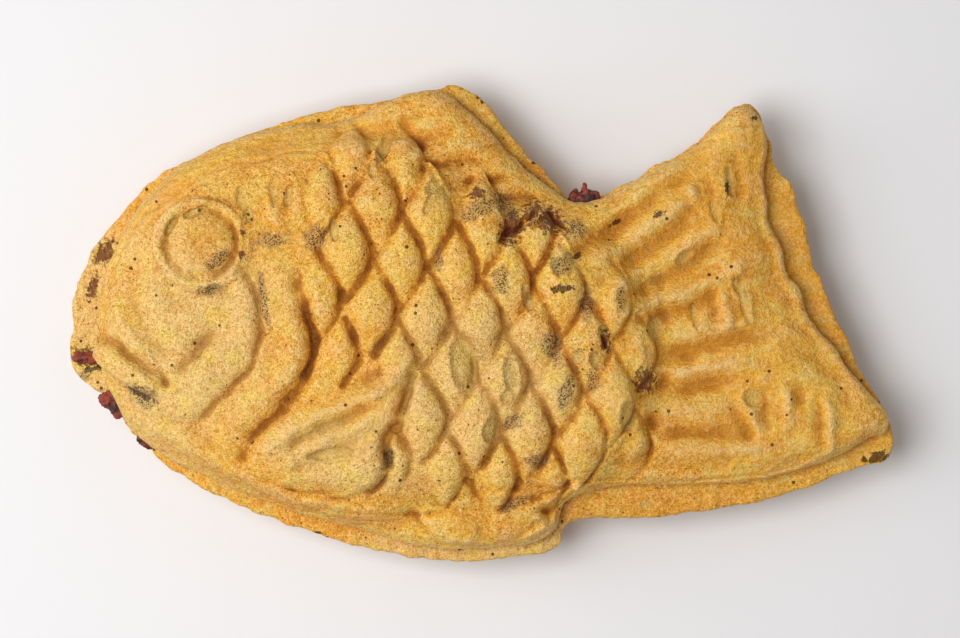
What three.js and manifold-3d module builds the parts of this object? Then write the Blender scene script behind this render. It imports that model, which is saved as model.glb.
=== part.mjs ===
// A taiyaki: a fish-shaped cake lying on its side, two baked batter shells closed over a sweet bean paste.
// Millimetres, +Z up. The head points to -X and the back to +Y. The origin is under the middle of the fish,
// on the surface that it lies on.
import * as THREE from 'three';
import { mergeVertices } from 'three/addons/utils/BufferGeometryUtils.js';
import Module from 'manifold-3d';

const wasm = await Module();
wasm.setup();

// ---------------------------------------------------------------- driving dimensions

const SEAM_Z = 13.4; // where the two shells meet
const GAP = 0.3; // clearance between touching pieces
const FAR = 60; // a level above every surface of the fish

const BODY_HEIGHT = 10.6; // from the rim up to the flank
const TAIL_HEIGHT = 5.6;
const FIN_HEIGHT = 5;
const BODY_ROUNDING = 15; // how far in from the edge the flank is still rounding up
const FIN_ROUNDING = 4.5;
const UPPER_RIM = 2.2; // height of the upright edge of the upper shell
const FLANGE = 1.7; // thickness of the thin rim of the lower shell
const TAIL_STARTS_X = 16;
const TAIL_FULL_X = 44;

const SCALE_PITCH = new THREE.Vector2(9.6, 8.95); // from scale to scale along a row, and from row to row
const SCALE_ORIGIN = new THREE.Vector2(-28.4, 27.7); // first scale of the first full column
const SCALE_LEAN = 0.33; // how far each row starts nearer to the head than the row above
const SCALE_DROOP = 1.75; // how far a row falls from one scale to the next, at mid height
const SCALE_RISE = 2.1; // how far a scale stands out
const SCALE_TILT = 0.18; // slope of a scale's long axis
const MID_ROW = 2.5; // the row that droops most
const MID_COLUMN = 2.5; // where the drooping rows are at their own level
const DROOPING_ROWS = 5; // rows above and below the middle one that droop at all
const SCALE_ROWS = [ // first and last column of each row, in whole and half pitches
  [-0.5, 2.5], [0, 5], [0.5, 5.5], [0, 6], [0.5, 5.5], [2, 6], [2.5, 4.5],
];

const EYE = new THREE.Vector2(-50.3, 14.4);
const EYE_RADIUS = 5.6;
const EYE_RISE = 1.7;
const EYE_RING_RADIUS = 7.3; // to the crest of the raised ring
const EYE_RING_RISE = 0.9;
const EYE_BASE_RADIUS = 8.7;
const EYE_GROOVE_RISE = 0.3; // between the ball and the ring
const EYE_ROOT = 4; // how deep the eye's round base is set into the head

const PASTE_RIM = 1; // half the thickness of the filling at its edge
const PASTE_HALF_HEIGHT = 7.2;
const PASTE_ROUNDING = 11;
const PASTE_LUMP = 0.5; // depth of its unevenness
const PASTE_REACH = 20; // the outline is nowhere nearer than this to the origin

// Points of the surface grid on each scale, along and across its row.
const UPPER_GRID = new THREE.Vector2(4, 3);
const LOWER_GRID = new THREE.Vector2(4, 2);
const PASTE_GRID = new THREE.Vector2(2, 1);
const GRID_MIDDLE = new THREE.Vector2(3, 3); // column and row of the scale in the middle of the grid
const GRID_COLUMNS = 17;
const GRID_ROWS = 12;

// ---------------------------------------------------------------- outlines, each a ring of smooth stretches

const UPPER_EDGE = [
  [[-70, -4], [-70, 1], [-69, 7], [-67, 13], [-64, 19], [-57, 27], [-46, 33], [-33, 36.5], [-16, 40.5],
    [-5.5, 42.5]],
  [[-5.5, 42.5], [1, 36.5], [8, 30], [14.5, 23.5]],
  [[14.5, 23.5], [17, 22.4], [21, 22.6], [32.5, 29], [40, 33], [47.5, 39.5]],
  [[47.5, 39.5], [51.5, 33], [51.5, 26.5], [54.5, 13.5], [59.5, 3], [66.5, -7], [74, -18]],
  [[74, -18], [66.5, -25], [50, -28.5], [38, -29.5], [27, -29.3], [14.5, -33]],
  [[14.5, -33], [13.5, -38], [3.5, -40.5], [-6.5, -41], [-27, -36], [-48, -28.5], [-62.5, -19.5], [-67, -13],
    [-70, -4]],
];
const FLANGE_EDGE = [
  [[-75, -7], [-74.7, -1], [-74, 6], [-71, 13.5], [-66, 20], [-60, 26.3], [-51, 31], [-42, 35], [-25, 39.5],
    [-4.5, 43.3]],
  [[-4.5, 43.3], [3.5, 37], [9, 31], [15.5, 23.2]],
  [[15.5, 23.2], [20.7, 22.4], [25, 24.8], [32.6, 29.4], [40, 33.6], [47.2, 40.2]],
  [[47.2, 40.2], [49.5, 39.4], [54.5, 27], [57.6, 22.5], [62, 10], [66.3, -1], [73.6, -14.2], [74.8, -22.6]],
  [[74.8, -22.6], [74.2, -24.5], [65.4, -27.4], [56.3, -31], [40, -34.3], [25, -35.4], [16.5, -35.8],
    [14.7, -37.2]],
  [[14.7, -37.2], [14.5, -40.2], [7, -42.3], [-4, -43.4], [-14, -42.2], [-37, -36], [-58, -25.4],
    [-71.5, -11.5], [-75, -7]],
];
const PASTE_EDGE = [
  [[-63, -5], [-62, 6], [-54, 18], [-40, 26], [-24, 29], [-8, 25], [6, 17], [17, 9], [25, -1], [23, -14],
    [10, -23], [-8, -30], [-27, -28], [-44, -22], [-57, -14], [-63, -5]],
];

// The lines where the thin fins leave the thick body.
const BACK_LINE = [[-37.5, 30.5], [-27.5, 32], [-17.5, 32], [-9.5, 29], [-0.5, 24.5], [7, 22], [16, 20]];
const BELLY_LINE = [[-16, -38], [-9, -33], [2, -31], [16, -31]];
const FIN_STEP = 2; // half the width of the slope from body to fin

// Ridges (rise above 0) and grooves (rise below 0) pressed by the mould: where they run, how wide, how high.
const MARKS = [
  // gill cover, its outer and inner groove
  { rise: -1.7, width: 1.6, line: [[-33.5, 11.5], [-30, -4], [-31, -9], [-38.5, -17.5], [-46.5, -25]] },
  { rise: -1.2, width: 1.4, line: [[-44, 10], [-40.5, 5], [-40, -3], [-43.5, -10], [-51.5, -17.5]] },
  // mouth, jaw and brow
  { rise: -1.1, width: 1.5, line: [[-69.5, -2], [-65, -4.5], [-58, -10]] },
  { rise: -0.9, width: 1.4, line: [[-48.5, -2.5], [-52, -6], [-55.5, -10]] },
  { rise: 0.8, width: 1.4, line: [[-66, 15.5], [-55, 23.5], [-40, 30.5]] },
  // rays of the side fin
  { rise: 1.7, width: 2.0, line: [[-38, -21], [-29.5, -16], [-20.5, -12.3], [-10.5, -8]] },
  { rise: 1.6, width: 1.9, line: [[-38.5, -24.5], [-29.5, -20.8], [-22, -17], [-16, -13.5]] },
  { rise: 1.5, width: 1.9, line: [[-35, -27.5], [-27.5, -25.5], [-21.5, -22], [-17, -19]] },
  // folds of the back fin
  { rise: -1.2, width: 1.5, line: [[-25, 36], [-15, 39], [-7.5, 40]] },
  { rise: -1.3, width: 1.5, line: [[-16.5, 31.5], [-11, 34], [-5.5, 37]] },
  { rise: -1.3, width: 1.5, line: [[-10.5, 27.5], [-3, 30], [3.5, 31]] },
  // folds of the tail
  { rise: -1.6, width: 2.0, line: [[17, 11.5], [22.5, 15.5], [29, 20.5], [40, 29]] },
  { rise: -1.5, width: 1.9, line: [[24, 7], [29, 11.5], [38, 20]] },
  { rise: -1.5, width: 1.9, line: [[26, 2.5], [32.5, 6], [44, 15.5]] },
  { rise: -1.3, width: 1.9, line: [[31, -0.5], [38, 2], [42, 5.5]] },
  { rise: -1.4, width: 2.0, line: [[32.5, -6.5], [40, -4.5], [51, -2]] },
  { rise: -1.3, width: 2.0, line: [[32.5, -13], [43.5, -11.5], [52.5, -9]] },
  { rise: -1.4, width: 2.0, line: [[31.5, -19.5], [41.5, -21], [49.5, -21.5]] },
];
const MARKS_FADE = 4; // the moulding dies out over this much at the edge

// Where the filling has found its way out: run of the leak in plan, width, and its lowest and highest level.
const LEAKS = [
  // between the lips, under the chin, at the throat
  { from: [-58, -5], to: [-74.4, -6], width: 3, low: SEAM_Z - 2.8, high: SEAM_Z + 0.8 },
  { from: [-56, -9], to: [-69, -15.6], width: 4.4, low: SEAM_Z - 2.6, high: SEAM_Z + 0.6 },
  { from: [-52, -12.5], to: [-61.4, -21.8], width: 3, low: SEAM_Z - 2.6, high: SEAM_Z + 0.6 },
  // in front of the tail
  { from: [12, 7], to: [18.8, 24.6], width: 4.4, low: SEAM_Z - 2.6, high: SEAM_Z + 1.4 },
  // a split in the back, open to the top
  { from: [3.5, 13.6], to: [9.8, 21.4], width: 2.6, low: SEAM_Z - 1, high: SEAM_Z + 8.6, open: true },
];

// ---------------------------------------------------------------- plane geometry

function ringShape(stretches) {
  const shape = new THREE.Shape();
  shape.moveTo(...stretches[0][0]);
  for (const stretch of stretches) {
    shape.splineThru(stretch.slice(1).map(([x, y]) => new THREE.Vector2(x, y)));
  }
  return shape;
}

function smoothLine(points) {
  const curve = new THREE.SplineCurve(points.map(([x, y]) => new THREE.Vector2(x, y)));
  return curve.getPoints(4 * points.length);
}

function distanceToLine(line, place) {
  const nearest = new THREE.Vector2();
  let least = Infinity;
  for (let i = 1; i < line.length; i++) {
    const along = line[i].clone().sub(line[i - 1]);
    const share = place.clone().sub(line[i - 1]).dot(along) / along.lengthSq();
    nearest.copy(line[i - 1]).addScaledVector(along, THREE.MathUtils.clamp(share, 0, 1));
    least = Math.min(least, nearest.distanceTo(place));
  }
  return least;
}

// Distance in from a ring's edge, negative outside it.
function depthInside(ring, place) {
  let inside = false;
  for (let i = 1; i < ring.length; i++) {
    const [a, b] = [ring[i - 1], ring[i]];
    const crossing = a.x + ((place.y - a.y) * (b.x - a.x)) / (b.y - a.y);
    if ((a.y > place.y) !== (b.y > place.y) && place.x < crossing) inside = !inside;
  }
  return distanceToLine(ring, place) * (inside ? 1 : -1);
}

// How far a place is on the fin's side of a line that runs along X: 0 on the body and past the line's ends,
// 1 on the fin. `side` is 1 where the fin is towards the back and -1 where it is towards the belly.
function shareBeyond(line, place, side) {
  const next = line.findIndex((point) => point.x >= place.x);
  if (next < 1) return 0;
  const [a, b] = [line[next - 1], line[next]];
  const level = THREE.MathUtils.mapLinear(place.x, a.x, b.x, a.y, b.y);
  return THREE.MathUtils.smoothstep(side * (place.y - level), -FIN_STEP, FIN_STEP);
}

const upperRing = ringShape(UPPER_EDGE).getPoints(4);
const pasteRing = ringShape(PASTE_EDGE).getPoints(3);
const backLine = smoothLine(BACK_LINE);
const bellyLine = smoothLine(BELLY_LINE);
const marks = MARKS.map((mark) => ({ ...mark, line: smoothLine(mark.line) }));

// ---------------------------------------------------------------- the scales

// Where a place of the even lattice lies on the fish, whose rows lean back and droop towards the tail.
function onLattice(column, row) {
  const fromMiddle = THREE.MathUtils.clamp((row - MID_ROW) / DROOPING_ROWS, -1, 1);
  const droop = SCALE_DROOP * (1 - fromMiddle ** 2);
  return new THREE.Vector2(
    SCALE_ORIGIN.x + SCALE_PITCH.x * column - SCALE_LEAN * row,
    SCALE_ORIGIN.y - SCALE_PITCH.y * row - droop * (column - MID_COLUMN),
  );
}

const scales = SCALE_ROWS.flatMap(([first, last], row) => {
  const count = last - first + 1;
  return Array.from({ length: count }, (_, i) => onLattice(first + i, row));
});

// How far the scales stand out at a place: each is a dome, pointed at its two ends.
function scaleRise(place) {
  let rise = 0;
  for (const middle of scales) {
    const across = Math.abs(place.x - middle.x) / (SCALE_PITCH.x / 2);
    const along = Math.abs(place.y - middle.y + SCALE_TILT * (place.x - middle.x)) / SCALE_PITCH.y;
    const round = across ** 2 + along ** 2;
    const pointed = across ** 1.4 + along ** 1.4;
    rise = Math.max(rise, SCALE_RISE * (1 - Math.max(round, pointed)));
  }
  return rise;
}

// ---------------------------------------------------------------- the moulded surface

// A quarter of an ellipse: 0 at the edge, 1 from `rounding` inwards, and the same turned down beyond it.
function cushion(depth, rounding) {
  const left = 1 - Math.min(Math.abs(depth) / rounding, 1);
  return Math.sign(depth) * Math.sqrt(1 - left * left);
}

// 1 on the back and belly fins, 0 on the body.
function finShare(place) {
  return Math.max(shareBeyond(backLine, place, 1), shareBeyond(bellyLine, place, -1));
}

// How far a shell stands from its rim, negative beyond its edge.
function shellHeight(place) {
  const depth = depthInside(upperRing, place);
  const tail = THREE.MathUtils.smoothstep(place.x, TAIL_STARTS_X, TAIL_FULL_X);
  const fin = finShare(place);
  const flank = THREE.MathUtils.lerp(BODY_HEIGHT, FIN_HEIGHT, fin);
  const rounding = THREE.MathUtils.lerp(BODY_ROUNDING, FIN_ROUNDING, Math.max(fin, tail));
  const smoothBody = THREE.MathUtils.lerp(flank, TAIL_HEIGHT, tail) * cushion(depth, rounding);
  const moulded = marks.reduce(
    (sum, { line, width, rise }) => sum + rise * Math.exp(-((distanceToLine(line, place) / width) ** 2)),
    scaleRise(place),
  );
  return smoothBody + moulded * THREE.MathUtils.smoothstep(depth, 0, MARKS_FADE);
}

function pasteHalfHeight(place) {
  const lump = PASTE_LUMP * Math.sin(place.x / 2.3) * Math.cos(place.y / 2.1 + place.x / 5);
  const crown = Math.max(0, cushion(depthInside(pasteRing, place), PASTE_ROUNDING));
  return PASTE_RIM + (PASTE_HALF_HEIGHT + lump) * crown;
}

// ---------------------------------------------------------------- solids

function solidOf(geometry) {
  const bare = geometry.clone();
  bare.deleteAttribute('normal');
  bare.deleteAttribute('uv');
  const merged = mergeVertices(bare, 1e-4);
  return new wasm.Manifold(new wasm.Mesh({
    numProp: 3,
    vertProperties: merged.attributes.position.array,
    triVerts: new Uint32Array(merged.index.array),
  }));
}

function meshOf(name, solid, material) {
  const { numProp, vertProperties, triVerts } = solid.getMesh();
  const geometry = new THREE.BufferGeometry()
    .setAttribute('position', new THREE.BufferAttribute(vertProperties, numProp))
    .setIndex(new THREE.BufferAttribute(triVerts, 1));
  geometry.computeVertexNormals();
  const mesh = new THREE.Mesh(geometry, material);
  mesh.name = name;
  return mesh;
}

// An upright column over a ring, between two levels.
function column(stretches, low, high) {
  const geometry = new THREE.ExtrudeGeometry(ringShape(stretches), {
    depth: high - low,
    bevelEnabled: false,
    curveSegments: 2,
  });
  return solidOf(geometry.translate(0, 0, low));
}

// A block over the whole fish whose top and underside follow two functions of the place. Its grid follows the
// rows of scales, with the same points on every scale.
function fieldBlock(topAt, bottomAt, pointsOnScale) {
  const box = new THREE.BoxGeometry(
    GRID_COLUMNS, GRID_ROWS, 1, GRID_COLUMNS * pointsOnScale.x, GRID_ROWS * pointsOnScale.y, 1,
  );
  const position = box.attributes.position;
  for (let i = 0; i < position.count; i++) {
    const place = onLattice(GRID_MIDDLE.x + position.getX(i), GRID_MIDDLE.y - position.getY(i));
    position.setXYZ(i, place.x, place.y, position.getZ(i) > 0 ? topAt(place) : bottomAt(place));
  }
  return solidOf(box);
}

// The eye: a ball in a raised ring, turned about an upright axis. `facing` is 1 upwards and -1 downwards.
function eye(facing) {
  const base = [
    [0, -EYE_ROOT], [EYE_BASE_RADIUS, -EYE_ROOT], [EYE_BASE_RADIUS, 0],
    [EYE_RING_RADIUS, EYE_RING_RISE], [(EYE_RING_RADIUS + EYE_RADIUS) / 2, EYE_GROOVE_RISE],
  ].map(([x, y]) => new THREE.Vector2(x, y));
  const ball = new THREE.EllipseCurve(0, 0, EYE_RADIUS, EYE_RISE, 0, Math.PI / 2).getPoints(4);
  ball.at(-1).x = 0; // exactly on the axis
  const turned = new THREE.LatheGeometry([...base, ...ball], 16);
  const rim = facing > 0 ? SEAM_Z + UPPER_RIM : SEAM_Z - FLANGE;
  turned.rotateX((facing * Math.PI) / 2).translate(EYE.x, EYE.y, rim + facing * shellHeight(EYE));
  return solidOf(turned);
}

// A rounded run of filling from inside the fish to its edge. The room for an open one goes up to the top.
function leakSolid({ from, to, width, low, high, open }, grow) {
  const start = new THREE.Vector2(...from);
  const run = new THREE.Vector2(...to).sub(start);
  const thick = width + 2 * grow;
  const middle = (low + high) / 2;
  const place = (geometry) => geometry
    .rotateZ(run.angle())
    .translate(start.x + run.x / 2, start.y + run.y / 2, middle);
  const lump = new THREE.CapsuleGeometry(thick / 2, run.length() - width, 2, 8)
    .rotateZ(Math.PI / 2)
    .scale(1, 1, (high - low + 2 * grow) / thick);
  if (!open || !grow) return solidOf(place(lump));
  const shaft = new THREE.BoxGeometry(run.length() + 2 * grow, thick, FAR).translate(0, 0, FAR / 2);
  return solidOf(place(lump)).add(solidOf(place(shaft)));
}

// The filling, or with `grow` above 0 the room that the shells leave for it.
function filling(grow) {
  const core = fieldBlock(
    (place) => SEAM_Z + pasteHalfHeight(place) + grow,
    (place) => SEAM_Z - pasteHalfHeight(place) - grow,
    PASTE_GRID,
  );
  const widened = 1 + grow / PASTE_REACH;
  const edge = PASTE_EDGE.map((stretch) => stretch.map(([x, y]) => [x * widened, y * widened]));
  const run = core.intersect(column(edge, 0, FAR));
  return LEAKS.reduce((sum, leak) => sum.add(leakSolid(leak, grow)), run);
}

function upperShell(room) {
  const moulded = fieldBlock((place) => SEAM_Z + UPPER_RIM + shellHeight(place), () => 0, UPPER_GRID);
  const withEye = moulded.add(eye(1));
  return withEye.intersect(column(UPPER_EDGE, SEAM_Z + GAP / 2, FAR)).subtract(room);
}

// The lower shell has the wider, thin rim. It is level at Z = 0, where the weight has flattened its scales.
function lowerShell(room) {
  const top = SEAM_Z - GAP / 2;
  const moulded = fieldBlock(() => FAR, (place) => SEAM_Z - FLANGE - shellHeight(place), LOWER_GRID);
  const body = moulded.add(eye(-1)).intersect(column(UPPER_EDGE, 0, top));
  return body.add(column(FLANGE_EDGE, SEAM_Z - FLANGE, top)).subtract(room);
}

// ---------------------------------------------------------------- the fish

const crust = new THREE.MeshStandardMaterial({ color: '#d9a856', roughness: 0.72, metalness: 0 });
const underCrust = new THREE.MeshStandardMaterial({ color: '#cf9746', roughness: 0.75, metalness: 0 });
const beanPaste = new THREE.MeshStandardMaterial({ color: '#5b2219', roughness: 0.45, metalness: 0 });

const room = filling(GAP);
const fish = new THREE.Group();
fish.add(
  meshOf('upper_shell', upperShell(room), crust),
  meshOf('lower_shell', lowerShell(room), underCrust),
  meshOf('bean_paste', filling(0), beanPaste),
);

export default fish;
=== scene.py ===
"""A taiyaki, the fish-shaped cake, built as a Blender add-on: each piece of the cake has its own operator.

Lengths in the lists below are millimetres, in the frame of the part: the head points to -X, the back to +Y,
and the cake lies on Z = 0. What is added to the scene is in metres.
"""

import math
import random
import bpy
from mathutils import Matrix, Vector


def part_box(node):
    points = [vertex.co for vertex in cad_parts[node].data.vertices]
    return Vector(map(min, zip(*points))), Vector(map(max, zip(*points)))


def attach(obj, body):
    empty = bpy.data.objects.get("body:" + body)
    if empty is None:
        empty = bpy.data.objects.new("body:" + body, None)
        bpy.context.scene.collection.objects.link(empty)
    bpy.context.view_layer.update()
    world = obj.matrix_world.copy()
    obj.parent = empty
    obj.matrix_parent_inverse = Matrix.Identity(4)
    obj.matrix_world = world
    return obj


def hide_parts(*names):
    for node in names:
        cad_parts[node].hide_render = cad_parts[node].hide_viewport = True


bl_info = {
    "name": "Taiyaki",
    "version": (1, 0, 0),
    "blender": (4, 5, 0),
    "location": "3D View > Sidebar > Taiyaki",
    "description": "Models a fish-shaped cake with two moulded halves and a bean filling",
    "category": "Object",
}

import bpy
import numpy as np
from bpy.props import FloatProperty, FloatVectorProperty, PointerProperty
from mathutils import Matrix, Vector, noise

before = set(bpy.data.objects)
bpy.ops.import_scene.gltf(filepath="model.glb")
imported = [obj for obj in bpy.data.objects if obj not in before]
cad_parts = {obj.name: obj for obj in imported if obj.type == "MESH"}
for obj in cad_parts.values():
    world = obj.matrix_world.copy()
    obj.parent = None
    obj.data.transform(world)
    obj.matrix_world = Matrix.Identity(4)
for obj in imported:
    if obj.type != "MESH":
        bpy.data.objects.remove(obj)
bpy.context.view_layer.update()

MM = 0.001
UP, DOWN = Vector((0, 0, 1)), Vector((0, 0, -1))

LOWER_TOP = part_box("lower_shell")[1].z  # metres
UPPER_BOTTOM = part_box("upper_shell")[0].z  # metres
SEAM = (LOWER_TOP + UPPER_BOTTOM) / 2 / MM  # level where the two halves meet
UNDERSIDE_RIM = 1.7  # thickness of the thin rim that stands out round the lower half
PRESSED_FLAT = 0.5  # how far the tops of the scales on the underside are flattened
FORM_DETAIL = 0.8  # size of the faces in which the main forms are made


# ---- outlines of the cake, in plan

BODY_EDGE = [  # the thick body, without its fins and tail
    (-70, -4), (-70, 1), (-69, 7), (-67, 13), (-64, 19), (-57, 26.5), (-47, 31.5), (-37.5, 33.5),
    (-27.5, 34.5), (-17.5, 34), (-9.5, 31.5), (-0.5, 27.5), (7, 24), (16, 21), (24, 17), (30.5, 9),
    (33, 0), (33.5, -10), (31, -20), (25, -27.5), (15, -32), (2, -33.5), (-9, -35.5), (-20, -37),
    (-27, -36), (-48, -28.5), (-62.5, -19.5), (-67, -13),
]
UPPER_EDGE = BODY_EDGE[:5] + [  # the whole upper half
    (-57, 27), (-46, 33), (-33, 36.5), (-24, 37.2), (-19.7, 39.4), (-11.6, 42.6), (-8, 42.8), (-6, 42),
    (-3.4, 39.3), (-0.1, 36.7), (4.7, 31.5), (9.6, 27.2), (13, 24.6), (15, 23), (17, 22.3), (21, 22.6),
    (32.5, 29), (40, 33), (46, 39), (48, 39.9), (49.7, 38.6), (51.6, 35.5), (52.1, 32.1), (51.2, 26.3),
    (52, 21.9), (52.1, 18.8), (54.7, 13.5), (55.2, 9.1), (58.3, 5.5), (58.9, 2.4), (61.4, -1.1),
    (64, -3.3), (65.8, -6.4), (68.5, -9.9), (71.6, -13.5), (74.2, -17), (74, -19.4), (70.5, -20.9),
    (66.5, -23.5), (60, -26), (50, -28.5), (38, -29.5), (27, -29.3), (18, -31), (14.6, -33.2), (13.9, -37),
    (11.5, -39), (3.5, -40.5), (-6.5, -41), (-27, -36), (-48, -28.5), (-62.5, -20.5), (-66.5, -14.5),
    (-67.5, -11),
]
RIM_EDGE = [  # the thin rim of the lower half
    (-74.9, -7), (-74.7, -1), (-74, 6), (-71, 13.5), (-66, 20), (-60, 26.3), (-51, 31), (-42, 35),
    (-33, 37.6), (-24.5, 39.8), (-20, 40.2), (-8, 43.2), (-4.4, 43.5), (-1.2, 42), (1.8, 38.7),
    (5.7, 33.8), (9.6, 29.9), (12.9, 26.6), (15.2, 23.7), (17, 22.9), (20.7, 22.8), (25, 24.8),
    (32.6, 29.4), (40, 33.6), (46, 39.4), (48, 40.2), (50.2, 39.2), (52.6, 33.4), (54.3, 28.1),
    (56.5, 25.4), (58.3, 19.7), (60.1, 14.4), (61.4, 9.5), (63.2, 5.5), (64.9, 1.1), (67.1, -3.7),
    (68.6, -7.3), (71, -11.1), (74.2, -17), (74.9, -20), (74.9, -23), (74.2, -24.6), (70.2, -26),
    (65.8, -27.4), (56.3, -31), (40, -34.3), (25, -35.4), (16.2, -36), (14.9, -37.2), (14.4, -40),
    (7, -42.3), (-4, -43.3), (-14, -42.2), (-37, -36), (-50, -30.4), (-58, -25.4), (-61.5, -21.8),
    (-65, -18.2), (-66.2, -15.5), (-67.5, -13.6), (-71.5, -11.3), (-73.6, -9.3),
]
PASTE_EDGE = [  # the filling inside the body
    (-58, -2), (-57, 8), (-52, 16), (-43, 21), (-30, 23), (-15, 22), (-2, 17), (8, 11), (16, 5), (19, -4),
    (17, -14), (10, -20), (-4, -22), (-22, -23.5), (-42, -18), (-53, -11),
]

LEAKS = [  # what comes out between the halves: outline, lowest level and thickness
    ([(-74.2, -5.6), (-73.4, -5.1), (-72.2, -5.4), (-70, -5), (-69.2, -6.2), (-70.2, -7.5), (-71.8, -7),
      (-72.6, -7.4), (-73.3, -6.9), (-74.3, -7)], 12.8, 1.9),
    ([(-69.9, -13.2), (-66, -12.8), (-66, -17.4), (-67.6, -16.6), (-67.9, -15.5), (-69, -15)], 12.4, 1.8),
    ([(-62.8, -20.2), (-59.6, -21), (-60.6, -23), (-61.4, -22.2), (-62.1, -22)], 12.4, 1.6),
    ([(16.4, 20.6), (17.1, 24.6), (18, 23.6), (18.8, 25.8), (19.8, 23.9), (21, 24.4), (20.8, 21)],
     12.6, 2.2),
    ([(3.4, 14.6), (4.6, 14.2), (6.8, 18), (6.2, 19.2)], 15.5, 4),
    ([(8, 17.6), (9.4, 17.8), (11.4, 21), (10.4, 22)], 14, 4),
    ([(21.4, -2.6), (22.6, -2.4), (22.8, -4.6), (21.8, -4.8)], 17, 3),
]

# ---- what the mould presses into the crust

GILL_COVER = [[
    (-33.4, 9.5), (-32.4, 5.5), (-31.1, 1), (-30.1, -3), (-30.4, -6.9), (-31.9, -10.4), (-35, -14.1),
    (-38.9, -18.2), (-42.9, -23.1), (-44.4, -25),
]]
CHEEK = [[
    (-42.4, 9.7), (-40.6, 5.5), (-39.7, 1), (-39.9, -3.6), (-41.2, -7.6), (-44.2, -10.8), (-48.1, -14.7),
    (-52.7, -19),
]]
FACE_EDGE = [[
    (-68.7, -1.1), (-66.8, 8), (-64.1, 15.3), (-60.5, 20.1), (-55, 23.7), (-48.6, 27.4), (-40.1, 30.3),
]]
LOWER_LIP = [[(-72, 0.4), (-69.6, -1.6), (-65.1, -4.2), (-61, -6.8), (-57.6, -9.8), (-55.6, -12)]]
CHIN = [[(-69.6, -7.4), (-67.1, -10.2), (-63.8, -12.1), (-59.4, -13.7)]]
JAW = [[(-48, -1), (-50.7, -4.6), (-53, -7.2), (-55, -9.2)]]
JAW_BLOCK = [[(-69.2, -4.9), (-67.2, -5.8), (-64, -7.8), (-60.6, -10.2), (-58.4, -11.8)]]
JAW_END = [[(-58.6, -7.6), (-56.8, -9.6), (-56.6, -12)]]
NOSE = [[(-63.8, 6.4), (-62.6, 2.6), (-59.8, -1.6), (-57.4, -5.4), (-55.2, -8.8)]]
NOSE_RIDGE = [[(-67.2, 4.4), (-65.2, -0.2), (-61.6, -3.8), (-58.2, -7.2)]]
PUPIL = [[(-51.8, 12.9), (-51.1, 14.5), (-49.2, 15.2), (-47.6, 14.4), (-47.2, 13)]]
BROW_BULGES = [[(-33.4, 25.6), (-33.1, 22), (-32.2, 18.6)], [(-37.6, 23.2), (-37, 20), (-36.4, 17.8)]]
LOW_BAND = [[(-57, -19.6), (-48, -25.2), (-38, -30), (-27, -33.2), (-16, -35.6)]]
SNOUT_FOLDS = [
    [(-62.2, 15.5), (-62, 10.5), (-62.6, 6), (-61.5, 1.5)], [(-57.5, 6.5), (-54.5, 4.2), (-50.5, 3.2)],
    [(-66.3, -14), (-60.5, -16.6), (-53.2, -18.6), (-48.6, -21.2)],
]
SCORES = [
    [(-64.1, -11.2), (-62, -12.2), (-60.2, -13), (-58.4, -13.9)],
    [(-36.8, -29.2), (-30.4, -30.3), (-24, -30.3)], [(-44, -29.3), (-32, -33), (-20, -34.3), (-9, -34.6)],
    [(-40, -31.6), (-28, -34.7), (-16, -36)],
    [(9, -29.6), (18, -29.6), (28.9, -30.2), (39.9, -30.4), (50.8, -29.2)],
    [(12, -31.4), (21.6, -28.3), (32.6, -28.7), (43.5, -28.1), (58.1, -26)],
    [(-61, 16.8), (-54, 23), (-46, 27), (-38, 30), (-31, 31.5)], [(-58, 22.8), (-50, 28), (-42, 31)],
    [(-28, 34.2), (-18, 36.6), (-9, 38.5)],
]
BACK_FOLDS = [
    [(-25, 33.6), (-18.5, 35), (-11, 37.6)], [(-16.5, 30.8), (-11, 33), (-4.5, 34.4)],
    [(-12, 28), (-4.6, 29.2), (2.5, 29.8)], [(-6, 25), (0, 26.4), (6, 26.6)],
    [(-0.5, 22.6), (5, 23.4), (11, 24)],
]
BACK_RIDGES = [
    [(-22, 31.9), (-17, 32.4), (-12.5, 33.8)], [(-12, 30.4), (-5, 31.6), (0.5, 32)],
    [(-8, 26.8), (-1, 27.9), (5, 28.2)], [(-3, 23.8), (3, 24.8), (9, 25.4)],
]
FIN_EDGE = [
    (-11.6, -8.6), (-14.3, -13.1), (-15.2, -17.5), (-17.4, -20.8), (-17.2, -24.6), (-19, -28.5),
    (-22.2, -30.7), (-27.6, -30.7), (-33.1, -29.6), (-37.7, -28.1), (-41, -25.5), (-40, -22),
    (-33.1, -17.2), (-25.8, -13.9), (-18.5, -11.1),
]
FIN_FOLDS = [
    [(-39, -24), (-31, -17.8), (-24, -14.6), (-15, -10.6)],
    [(-37, -26.6), (-29.5, -22), (-23, -18.8), (-17.4, -16.4)],
    [(-36, -28.6), (-29.5, -27.6), (-24, -27.4)],
]
FIN_VALLEYS = [
    [(-37.6, -23.6), (-31.3, -19.9), (-24.5, -16.8), (-17.6, -13.8)],
    [(-33, -24.4), (-27.5, -22.6), (-22, -20.6), (-18.8, -19.6)],
]
FIN_SHADE = [[
    (-11.2, -8.4), (-13.6, -12.6), (-14.6, -17.4), (-16.8, -21), (-16.6, -24.8), (-18.4, -28.8),
    (-21.6, -31.4),
]]
FIN_UNDER = [[(-21.6, -31.4), (-28, -31.4), (-34, -30.2), (-39.4, -28)]]
FIN_PITS = [[(-13.2, -12), (-14.2, -15.6)], [(-16.8, -22.8), (-16.6, -26)]]
JOWL_BULGE = [(-44, -23.6), (-40, -21.8), (-36, -23), (-34, -26.4), (-37, -29.4), (-42.4, -27.6)]
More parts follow.
